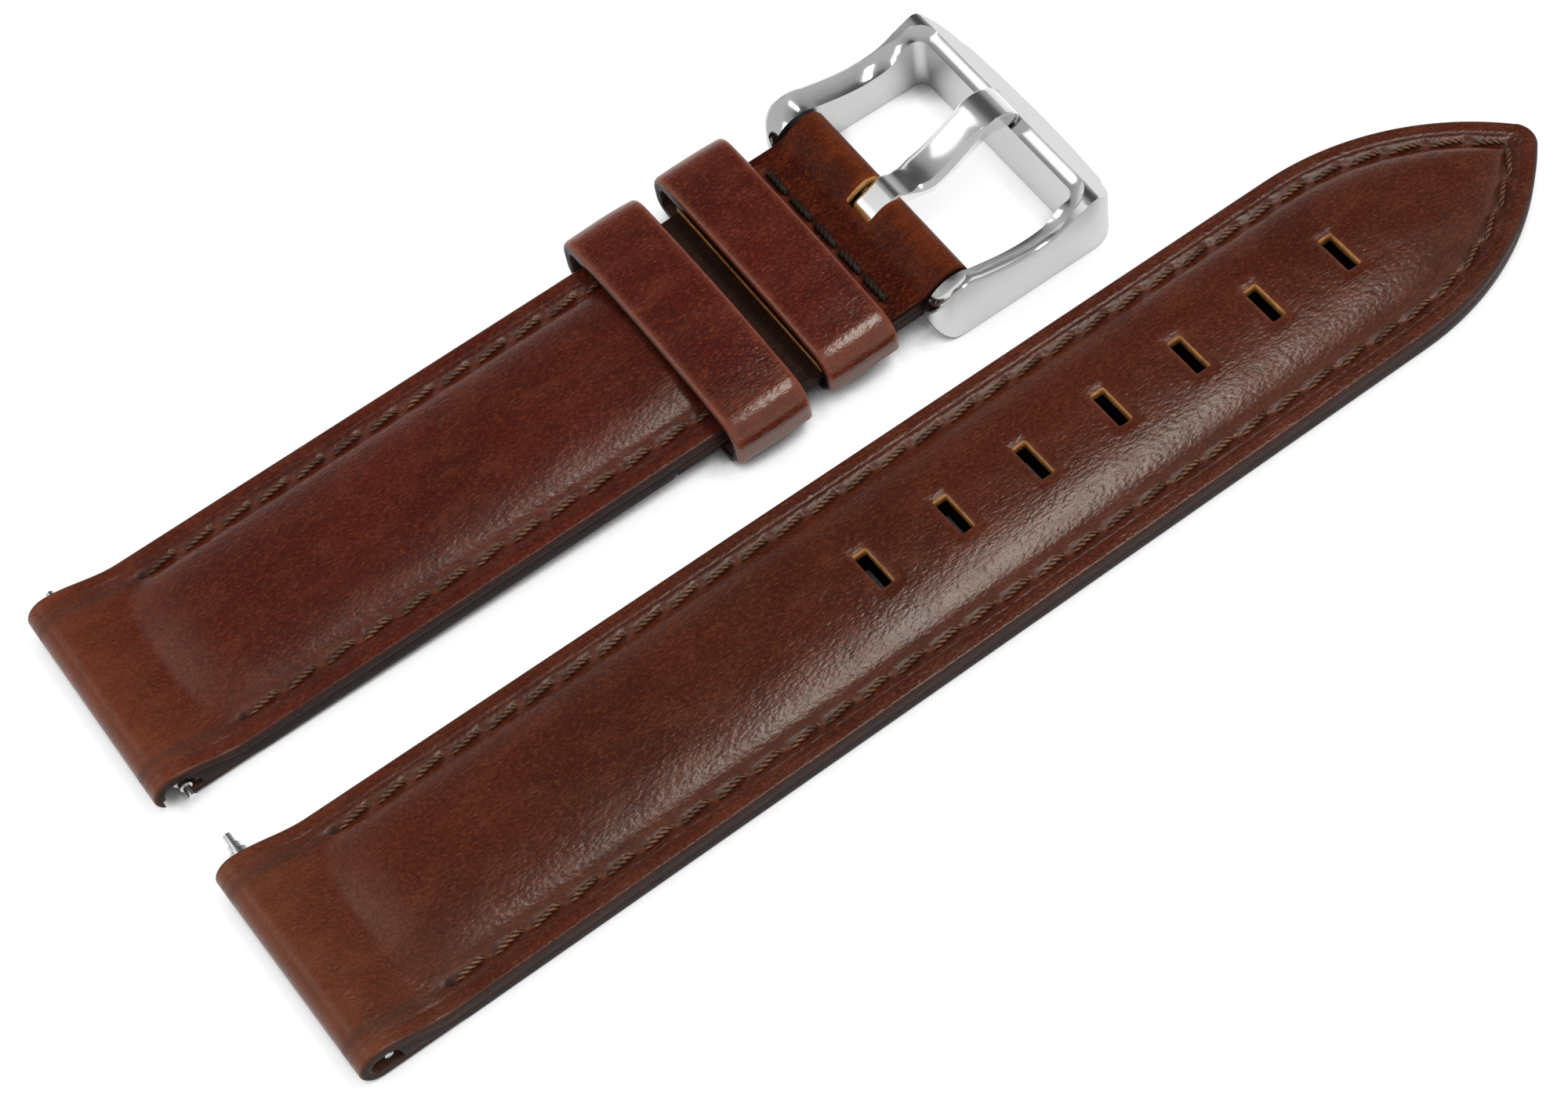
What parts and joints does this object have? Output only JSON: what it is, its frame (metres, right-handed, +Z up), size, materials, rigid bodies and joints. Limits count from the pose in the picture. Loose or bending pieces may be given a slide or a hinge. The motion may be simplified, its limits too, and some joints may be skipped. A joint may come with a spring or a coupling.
{
  "type": "leather watch strap",
  "caption": "Padded brown leather watch strap in two halves, with quick-release spring bars at the lug ends, a steel tang buckle, a fixed keeper and a sliding keeper.",
  "frame": {"origin": "on the table, under the middle of the box round both halves as they lie side by side", "axes": "+X along the halves, from the lug ends to the buckle and the pointed tip; +Y from the tail half to the buckle half; +Z up from the table, out of the top leather"},
  "size_m": [0.1186, 0.0502, 0.0075],
  "materials": {
    "buckle_half_leather": "waxed pull-up leather, red brown",
    "tail_half_leather": "waxed pull-up leather, brown",
    "flap_leather": "thin mottled brown leather",
    "keeper_leather": "waxed leather with burnished edges",
    "lining_leather": "smooth dark brown lining with painted edges",
    "padding_felt": "pressed fibre padding",
    "waxed_thread": "waxed twisted thread",
    "polished_steel": "polished stainless steel with satin sides",
    "bar_steel": "turned stainless steel",
    "spring_steel": "drawn spring wire"
  },
  "bodies": {
    "buckle_strap": {"buckle_strap_upper": "buckle_half_leather", "buckle_strap_padding": "padding_felt", "buckle_strap_lining": "lining_leather", "buckle_end_flap": "flap_leather", "buckle_strap_stitch_far": "waxed_thread", "buckle_strap_stitch_near": "waxed_thread", "buckle_end_cross_stitch": "waxed_thread", "fixed_keeper": "keeper_leather", "buckle_bar_tube": "bar_steel", "buckle_bar_spring": "spring_steel"},
    "sliding_keeper": {"free_keeper": "keeper_leather"},
    "frame": {"buckle_frame": "polished_steel"},
    "tongue": {"buckle_tongue": "polished_steel"},
    "bar_pin_far": {"buckle_bar_pin_far": "bar_steel"},
    "bar_pin_near": {"buckle_bar_pin_near": "bar_steel"},
    "buckle_release_bar": {"buckle_release_bar_tube": "bar_steel", "buckle_release_bar_fixed_pin": "bar_steel", "buckle_release_bar_spring": "spring_steel"},
    "buckle_release_lever": {"buckle_release_bar_plunger": "bar_steel", "buckle_release_bar_knob": "bar_steel"},
    "tail_strap": {"tail_strap_upper": "tail_half_leather", "tail_strap_padding": "padding_felt", "tail_strap_lining": "lining_leather", "tail_strap_stitch": "waxed_thread"},
    "tail_release_bar": {"tail_release_bar_tube": "bar_steel", "tail_release_bar_fixed_pin": "bar_steel", "tail_release_bar_spring": "spring_steel"},
    "tail_release_lever": {"tail_release_bar_plunger": "bar_steel", "tail_release_bar_knob": "bar_steel"}
  },
  "joints": [
    {"name": "frame_hinge", "type": "hinge", "parent": "buckle_strap", "child": "frame", "pos_m": [0.01428, 0.01153, 0.00361], "axis": [-0.019, -0.9998, 0], "range_deg": [-80, 60]},
    {"name": "tongue_hinge", "type": "hinge", "parent": "frame", "child": "tongue", "pos_m": [0.01428, 0.01153, 0.00361], "axis": [-0.019, -0.9998, 0], "range_deg": [0, 75]},
    {"name": "free_keeper_slide", "type": "slide", "parent": "buckle_strap", "child": "sliding_keeper", "axis": [0.9994, -0.019, 0.0273], "range_m": [-0.04, 0.002]},
    {"name": "bar_pin_far_press", "type": "slide", "parent": "buckle_strap", "child": "bar_pin_far", "axis": [-0.019, -0.9998, 0], "range_m": [0, 0.0012], "stiffness_N_per_m": 800, "springref_m": -0.0015, "deforming": ["buckle_bar_spring"]},
    {"name": "bar_pin_near_press", "type": "slide", "parent": "buckle_strap", "child": "bar_pin_near", "axis": [0.019, 0.9998, 0], "range_m": [0, 0.0012], "stiffness_N_per_m": 800, "springref_m": -0.0015, "deforming": ["buckle_bar_spring"]},
    {"name": "buckle_release_bar_slide", "type": "slide", "parent": "buckle_strap", "child": "buckle_release_bar", "axis": [0.019, 0.9998, 0], "range_m": [-0.0015, 0.0005]},
    {"name": "buckle_release_press", "type": "slide", "parent": "buckle_release_bar", "child": "buckle_release_lever", "axis": [0.019, 0.9998, 0], "range_m": [0, 0.0015], "stiffness_N_per_m": 400, "springref_m": -0.002, "deforming": ["buckle_release_bar_spring"]},
    {"name": "tail_strap_lift", "type": "slide", "parent": "buckle_strap", "child": "tail_strap", "axis": [0, 0, 1], "range_m": [0, 0.02]},
    {"name": "tail_release_bar_slide", "type": "slide", "parent": "tail_strap", "child": "tail_release_bar", "axis": [0, 1, 0], "range_m": [-0.002, 0.0004]},
    {"name": "tail_release_press", "type": "slide", "parent": "tail_release_bar", "child": "tail_release_lever", "axis": [0, -1, 0], "range_m": [0, 0.0015], "stiffness_N_per_m": 400, "springref_m": -0.002, "deforming": ["tail_release_bar_spring"]}
  ]
}
